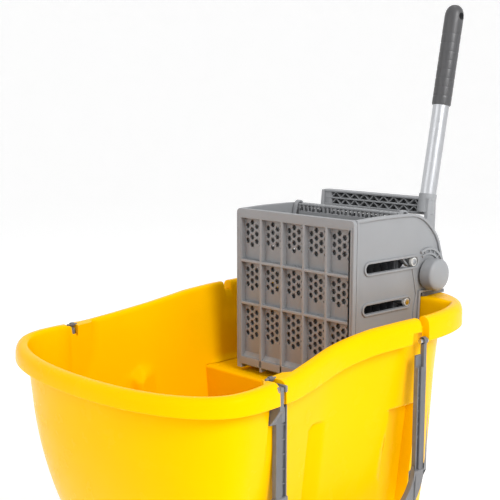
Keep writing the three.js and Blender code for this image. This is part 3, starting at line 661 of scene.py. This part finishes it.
# ------------------------------------------------------------------ wringer: front grid and strainer
PITCH_X, CELL = 40.6, 36.6
ROWS = [(-44.6, 13.0), (-104.6, -48.6), (-184.0, -108.6)]
g = Part()
g.add(prism(rrect(-108.6, 108.6, -195.5, 26, 6), 0, 6.4, 'y', 0.9, holes=[rrect(-99.4, 99.4, -184.2, 13.0, 1.0, 2)]))
g.add(rbox(-100.6, 100.6, 3, 11, 13.0, 25.4, 0.8))
g.add(rbox(-100.6, 100.6, 2, 11, -195.5, -184.0, 0.8))
for z in (-46.6, -106.6):
    g.add(rbox(-100.4, 100.4, 0.3, 11, z - 2, z + 2, 0.8))
for c in range(6):
    x = -101.5 + c * PITCH_X
    a, b = max(x - 2, -101.4), min(x + 2, 103.4)
    g.add(rbox(a, b, 0.0, 11, -201.4, 14.5, 0.8))
for x0, x1 in ((-108.5, -100.5), (100.5, 108.5)):
    g.add(rbox(x0, x1, 0.2, 6.3, -201.4, -190, 0.8))
    xm = x0 + (2.6 if x0 < 0 else 5.4)
    g.add(rbox(xm - 0.5, xm + 0.5, -0.0, 1.0, -190, 18, 0.3))
for c in range(5):
    x0 = -99.5 + c * PITCH_X
    g.add(prism([(3.5, -184.2), (11.2, -184.2), (11.2, -174.5)], x0 - 0.2, x0 + CELL + 0.2, 'x', 0.3))
make("front_grid_moulded", g, "wringer_grey", "wringer", ["front_grid_panel"])

def mesh_holes(ox, oz, r):
    out = []
    for c in range(5):
        for z0, z1 in ROWS:
            xc = -99.5 + c * PITCH_X + CELL / 2
            for k, dx in enumerate((-13.5, -4.5, 4.5, 13.5)):
                z = z1 - (6.0 if k % 2 else 11.2) - oz
                while z > z1 - (z1 - z0) * 0.7:
                    out.append(circle(xc + dx + ox, z, r, 6, 0.0))
                    z -= 10.4
    return out


sheet_edge = [(-100.3, -195.4), (100.3, -195.4), (100.3, 24), (-100.3, 24)]
s = Part()
s.add(prism(sheet_edge, 8.2, 10.6, 'y', 0.45, holes=mesh_holes(0, 0, 3.9)))
# the back sheet behind the holes takes the darker painted-shade grey, so the holes read as shaded
s.add(prism(sheet_edge, 12.4, 14.2, 'y', 0.3, holes=mesh_holes(4.5, 3.0, 1.9)), mat=1)
make("front_strainer_moulded", s, ["wringer_grey", "recess_shade_grey"], "wringer", ["front_strainer_plate"])

# ------------------------------------------------------------------ wringer: side plates
PY, PZ = 155.0, -58.0
SIDE = [(7, -201.5), (134, -201.5), (137, -118), (139, -83), (177, -83)] + circle(PY, PZ, 36, 16, math.radians(-40), math.radians(32)) + \
    [(182.5, -30), (177.5, -15.5), (172, -6), (163, 4), (152, 13.5), (142, 19.6), (131, 24), (120, 26), (104, 26.8), (88, 27), (48, 27), (7, 25.5)]
S1, S2 = (26, 132, -39, 12.9), (23, 117.5, -92, 11.6)
for mir, tag in ((False, "right"), (True, "left")):
    sp = Part()
    hs = [slot_pts(*S1), slot_pts(*S2), circle(PY, PZ, 7.5, 24)]
    sp.add(prism(SIDE, 101, 105.6, 'x', 0.7, holes=hs))
    sp.add(prism(SIDE, 104.6, 108.6, 'x', 0.8, holes=[inset(SIDE, 3.6)]))
    for y0, y1, z, hh in (S1, S2):
        sp.add(prism(slot_pts(y0 - 3, y1 + 3, z, hh + 6), 104.6, 107.9, 'x', 0.7, holes=[slot_pts(y0, y1, z, hh)]))
    for r0, r1, x1 in ((25.5, 28.5, 107.9), (32.2, 35.6, 108.5)):
        a0, a1 = math.radians(-38), math.radians(118)
        sp.add(prism(circle(PY, PZ, r1, 26, a0, a1) + circle(PY, PZ, r0, 26, a1, a0), 104.8, x1, 'x', 0.6))
    for k in range(6):
        a = math.radians(8 + 19 * k)
        sp.add(rbox(105.0, 107.6, -2.3, 2.3, -0.9, 0.9, 0.3),
               fn=lambda p, a=a: (p[0], PY + 30.4 * math.cos(a) + p[1] * math.cos(a) - p[2] * math.sin(a), PZ + 30.4 * math.sin(a) + p[1] * math.sin(a) + p[2] * math.cos(a)))
    belt = [(122, -47), (131.5, -84), (126.5, -106), (127, -196)]
    for (a, b), (c, d) in zip(belt, belt[1:]):
        l = math.hypot(c - a, d - b)
        uy, uz = (c - a) / l, (d - b) / l
        sp.add(prism([(a - uz * 1.1, b + uy * 1.1), (a + uz * 1.1, b - uy * 1.1), (c + uz * 1.1, d - uy * 1.1), (c - uz * 1.1, d + uy * 1.1)], 104.8, 107.2, 'x', 0.5))
    make("side_plate_moulded_" + tag, sp, "wringer_grey", "wringer", ["side_plate_" + tag], mirror=mir)
    cap = Part()
    cap.add(lathe([(0, 108.7), (17, 108.7), (18, 109.0), (21.0, 109.2), (21.6, 109.9), (21.6, 124.0), (21.1, 125.8), (20.0, 127.2), (18.0, 128.4), (14.8, 129.3), (11, 129.9),
                   (6, 130.3), (0, 130.4)], (0, PY, PZ), (1, 0, 0), 64))
    make("pivot_cap_turned_" + tag, cap, "wringer_grey", "wringer", ["pivot_cap_" + tag], mirror=mir)
    keep("rim_hook_" + tag, "dark_plastic")
keep("drain_plate", "wringer_grey", 0.0005)
keep("rear_panel", "wringer_grey", 0.0008)
make("pivot_shaft_turned", Part().add(lathe(rodp(7, -108.4, 108.4), (0, PY, PZ), (1, 0, 0), 40)), "steel", "wringer", ["pivot_shaft"])

# ------------------------------------------------------------------ press plate and guides
pp = Part()
pp.add(rbox(-90.4, 90.4, 108, 112, -194.8, 20.5, 0.8))
for i in range(15):
    x = -86.8 + i * 12.4
    pp.add(rbox(x - 1.8, x + 1.8, 105.0, 109, -190, 19.6, 0.7))
for z in (-191, -160, -129, -60, -20, 8):
    pp.add(rbox(-90.2, 90.2, 111, 117.6, z - 1.5, z + 1.5, 0.5))
for x in (-60, -30, 0, 30, 60):
    pp.add(rbox(x - 1.2, x + 1.2, 111, 117.4, -192, 19.5, 0.4))
for x in (-82, 82):
    pp.add(prism([(110, -60), (123, -49), (131, -44), (131, -34), (123, -29), (110, -18)], x - 3, x + 3, 'x', 0.7))
    pp.add(rbox(x - 3, x + 3, 110, 117.8, -100, -84, 0.7))
for y0, y1 in ((105.0, 108.0), (115.2, 118.0)):
    pp.add(rbox(-90.5, 90.5, y0, y1, 24.0 if y0 < 110 else 20.4, 26.9, 0.8), mat=1)
pp.add(rbox(-90.5, 90.5, 104.9, 108.0, 9.0, 16.4, 0.8), mat=1)
for i in range(24):
    x = -88.3 + i * 7.68
    pp.add(rbox(x - 1.7, x + 1.7, 107.6, 117.7, 21.4, 26.6, 0.6), mat=1)
    pp.add(rbox(x - 1.7, x + 1.7, 105.4, 108.2, 16.0, 24.6, 0.5), mat=1)
make("press_plate_moulded", pp, ["dark_plastic", "wringer_grey"], "press", ["press_plate"])
for nm, y, z in (("upper", 125.0, -39.0), ("lower", 111.5, -92.0)):
    make(nm + "_guide_rod_turned", Part().add(lathe(rodp(4, -107.6, 107.6), (0, y, z), (1, 0, 0), 32)), "steel", "press", [nm + "_guide_rod"])
    r = 6.0 if nm == "upper" else 5.4
    for mir, tag in ((False, "right"), (True, "left")):
        prof = [(4.2, 101.7), (r - 0.8, 101.7), (r - 0.2, 101.9), (r, 102.5), (r, 106.0), (r - 0.2, 106.6), (r - 0.8, 106.8), (4.2, 106.8), (4.2, 101.7)]
        make(f"{nm}_roller_turned_{tag}", Part().add(lathe(prof, (0, y, z), (1, 0, 0), 40)), "roller_nylon", "press", [f"{nm}_roller_{tag}"], mirror=mir)

# ------------------------------------------------------------------ lever yoke, tube, grip
cam_path = []
for k in range(17):
    t = k / 16
    ph = t * math.radians(50)
    dy, dz = 125 - 60 * t - PY, -39 - PZ
    cam_path.append((PY + dy * math.cos(ph) + dz * math.sin(ph), PZ - dy * math.sin(ph) + dz * math.cos(ph)))


def stroke(path, r, n=10):
    left, right = [], []
    for i, (y, z) in enumerate(path):
        a, b = path[max(0, i - 1)], path[min(len(path) - 1, i + 1)]
        l = math.hypot(b[0] - a[0], b[1] - a[1])
        dy, dz = (b[0] - a[0]) / l, (b[1] - a[1]) / l
        left.append((y - dz * r, z + dy * r))
        right.append((y + dz * r, z - dy * r))
    (ey, ez), (sy, sz) = path[-1], path[0]
    a1 = math.atan2(right[-1][1] - ez, right[-1][0] - ey)
    a0 = math.atan2(left[0][1] - sz, left[0][0] - sy)
    cap1 = [(ey + r * math.cos(a1 + math.pi * i / n), ez + r * math.sin(a1 + math.pi * i / n)) for i in range(1, n)]
    cap0 = [(sy + r * math.cos(a0 + math.pi * i / n), sz + r * math.sin(a0 + math.pi * i / n)) for i in range(1, n)]
    return right + cap1 + left[::-1] + cap0


slot_hole = stroke(cam_path, 4.6)
for mir, tag in ((False, "right"), (True, "left")):
    a = Part()
    a.add(prism(stroke(cam_path, 7.6), 93.0, 99.5, 'x', 0.8, holes=[slot_hole]))
    a.add(prism(circle(PY, PZ, 23.5, 48), 93.2, 99.3, 'x', 0.8, holes=[circle(PY, PZ, 7.5, 32)]))
    a.add(prism([(143, -46), (173, -46), (178, -8), (179, 20), (179, 42.6), (163, 42.6), (160, 16), (150, 2), (129, -4), (127, -12), (136, -26)], 93.4, 99.1, 'x', 0.8))
    a.add(prism([(164.5, 20.2), (177.5, 20.2), (177.5, 42.6), (164.5, 42.6)], 80.0, 99.2, 'x', 1.2, res=2))
    make("yoke_arm_moulded_" + tag, a, "wringer_grey", "lever", ["yoke_arm_" + tag], mirror=mir)
b = Part()
for z0, z1, y0, y1 in ((20.0, 23.2, 163.0, 179.6), (30.2, 32.8, 164.0, 179.2), (39.8, 43.0, 163.0, 179.6)):
    b.add(prism(rrect(-99.6, 100.2, y0, y1, 7.6, 8), z0, z1, 'z', 1.0, res=2))
# the web behind the truss diagonals takes the darker painted-shade grey, standing in for the shade between them
b.add(rbox(-96, 96, 174.2, 175.8, 22, 41, 0.4), mat=1)
nb = 18
for z0, z1 in ((22.8, 30.6), (32.4, 40.2)):
    for i in range(nb):
        x0 = -81 + i * 162 / nb
        x1 = x0 + 162 / nb
        za, zb = (z0, z1) if i % 2 == 0 else (z1, z0)
        l = math.hypot(x1 - x0, zb - za)
        ux, uz = -(zb - za) / l * 0.75, (x1 - x0) / l * 0.75
        b.add(prism([(x0 + ux, za + uz), (x0 - ux, za - uz), (x1 - ux, zb - uz), (x1 + ux, zb + uz)], 165.0, 174.6, 'y', 0.3))
b.add(rbox(-99.3, -84.5, 164.2, 179.0, 20.4, 42.7, 1.6, 3))
b.add(lathe([(11.15, 81.4), (11.9, 81.4), (12.1, 81.8), (12.1, 106.6), (11.8, 107.4), (11.15, 107.4), (11.15, 81.4)], (88.0, PY, PZ), (0, math.sin(math.radians(10.9)), math.cos(math.radians(10.9))), 56))
make("yoke_beam_moulded", b, ["wringer_grey", "recess_shade_grey"], "lever", ["yoke_beam"])
LEAN = math.radians(10.9)
AX = (0, math.sin(LEAN), math.cos(LEAN))
O = (88.0, PY, PZ)
make("lever_tube_drawn", Part().add(lathe([(9.5, 82.4), (10.7, 82.4), (11, 82.8), (11, 337.6), (10.7, 338), (9.5, 338), (9.5, 82.4)], O, AX, 64)),
     "aluminium_tube", "lever", ["lever_tube"])
prof = [(11.3, 229.2), (12.0, 229.0), (12.5, 229.4), (12.9, 230.6)]
h0 = 240.0
prof += [(12.9, 238)]
while h0 < 336:
    prof += [(12.9, h0), (12.55, h0 + 0.7), (12.55, h0 + 1.5), (12.9, h0 + 2.2)]
    h0 += 12
prof += [(12.9, 340), (12.9, 350), (12.6, 353), (11.8, 356.5), (10.4, 359.8), (8.2, 362.6), (5.2, 364.7), (2.2, 365.4), (0, 365.5), ]
gp = lathe([(11.3, 338.4)] + prof[:0] + prof if False else prof, O, AX, 64)
grip = Part().add(gp)
grip.add(lathe([(0, 338.4), (11.3, 338.4), (11.3, 229.2)], O, AX, 64))
gob = make("hand_grip_moulded", grip, "grip_grey", "lever", ["hand_grip"])
bmg = bmesh.new()
bmg.from_mesh(gob.data)
bmesh.ops.remove_doubles(bmg, verts=bmg.verts[:], dist=1e-6)
bmesh.ops.recalc_face_normals(bmg, faces=bmg.faces[:])
bmg.to_mesh(gob.data)
bmg.free()
# hanging hole: cut through, then the cutter goes
cy_, cz_ = PY + 350 * math.sin(LEAN), PZ + 350 * math.cos(LEAN)
cv, cf = lathe([(0, 60), (5, 60), (5, 116), (0, 116)], (0, cy_, cz_), (1, 0, 0), 40)
cme = bpy.data.meshes.new("cut")
cme.from_pydata([P(v) for v in cv], [], cf)
bmc = bmesh.new()
bmc.from_mesh(cme)
bmesh.ops.recalc_face_normals(bmc, faces=bmc.faces[:])
bmc.to_mesh(cme)
bmc.free()
cut = bpy.data.objects.new("cut", cme)
scene.collection.objects.link(cut)
bo = gob.modifiers.new("hole", 'BOOLEAN')
bo.object = cut
bo.operation = 'DIFFERENCE'
bo.solver = 'EXACT'
dg = bpy.context.evaluated_depsgraph_get()
nm_ = bpy.data.meshes.new_from_object(gob.evaluated_get(dg))
gob.modifiers.clear()
gob.data = nm_
bpy.data.objects.remove(cut)
nm_.polygons.foreach_set("use_smooth", [True] * len(nm_.polygons))
nm_.set_sharp_from_angle(angle=math.radians(36))

# ------------------------------------------------------------------ casters
CAST = {"front_left": (-98, -200), "front_right": (98, -200), "rear_left": (-104, 100), "rear_right": (104, 100)}
AXZ = -452.5
for tag, (x, y) in CAST.items():
    m = Part()
    m.add(prism(rrect(x - 28, x + 28, y - 28, y + 28, 5), -394, -390.3, 'z', 0.7, holes=[circle(x + a * 20, y + b * 20, 2.9, 14) for a in (-1, 1) for b in (-1, 1)]))
    for a in (-1, 1):
        for b in (-1, 1):
            m.add(lathe([(0, -396.4), (3.4, -396.4), (4.4, -395.8), (4.6, -394.9), (4.6, -393.7), (0, -393.7)], (x + a * 20, y + b * 20, 0), (0, 0, 1), 6))
    m.add(lathe([(0, -398), (16.5, -398), (18.6, -397.2), (19.8, -395.4), (20, -393.8), (0, -393.8)], (x, y, 0), (0, 0, 1), 48))
    m.add(lathe(rodp(5, -404.5, -397, 0.6), (x, y, 0), (0, 0, 1), 28))
    make("caster_mount_pressed_" + tag, m, "steel", "bucket", ["caster_mount_" + tag])
    keep("caster_fork_" + tag, "steel", 0.0008)
    yc = y + 22
    ax = Part()
    ax.add(lathe(rodp(4, x - 19.6, x + 19.6, 0.5), (0, yc, AXZ), (1, 0, 0), 28))
    make("caster_axle_turned_" + tag, ax, "steel", "caster_" + tag, ["caster_axle_" + tag])
    w = Part()
    tread = [(29.0, -10.6), (30.5, -12.0), (33.4, -12.2), (35.6, -11.2), (36.9, -9.2), (37.4, -6.0), (37.5, -2.2), (37.1, -1.6), (37.1, -0.9), (37.5, -0.4)]
    tread = tread + [(r, -h) for r, h in reversed(tread)]
    w.add(lathe(tread + [(29.0, -10.6)], (x, yc, AXZ), (1, 0, 0), 64), mat=0)
    hub = [(4.5, -12.4), (9.4, -12.6), (11, -12.0), (12.4, -10), (13.6, -7.6), (16, -6.6), (24, -6.6), (26.6, -8), (27.6, -10.4), (28.4, -11), (29.4, -10.4)]
    hub = hub + [(r, -h) for r, h in reversed(hub)] + [(4.5, -12.4)]
    w.add(lathe(hub, (x, yc, AXZ), (1, 0, 0), 64), mat=1)
    for k in range(6):
        a = 2 * math.pi * k / 6
        for s0 in (-9.4, 6.2):
            w.add(rbox(s0, s0 + 3.2, 10.5, 28, -1.6, 1.6, 0.6),
                  fn=lambda p, a=a, x=x, yc=yc: (x + p[0], yc + p[1] * math.cos(a) - p[2] * math.sin(a), AXZ + p[1] * math.sin(a) + p[2] * math.cos(a)), mat=1)
    make("caster_wheel_moulded_" + tag, w, ["wheel_rubber", "wheel_hub"], "wheel_" + tag, ["caster_wheel_" + tag])

# ------------------------------------------------------------------ floor with a soft rise behind
fv, ff = [(0.0, 0.0, 0.0)], []
NR, NA = 60, 96
for i in range(1, NR + 1):
    r = 20.0 * (i / NR) ** 1.5
    z = 0.0 if r < 5 else 0.09 * (r - 5) ** 2
    for k in range(NA):
        fv.append((r * math.cos(2 * math.pi * k / NA), r * math.sin(2 * math.pi * k / NA), z))
for k in range(NA):
    ff.append((0, 1 + k, 1 + (k + 1) % NA))
for i in range(NR - 1):
    for k in range(NA):
        a0, a1 = 1 + i * NA + k, 1 + i * NA + (k + 1) % NA
        ff.append((a0, a0 + NA, a1 + NA, a1))
fme = bpy.data.meshes.new("floor")
fme.from_pydata(fv, [], ff)
fme.polygons.foreach_set("use_smooth", [True] * len(ff))
fme.materials.append(floor_mat)
fob = bpy.data.objects.new("floor", fme)
scene.collection.objects.link(fob)
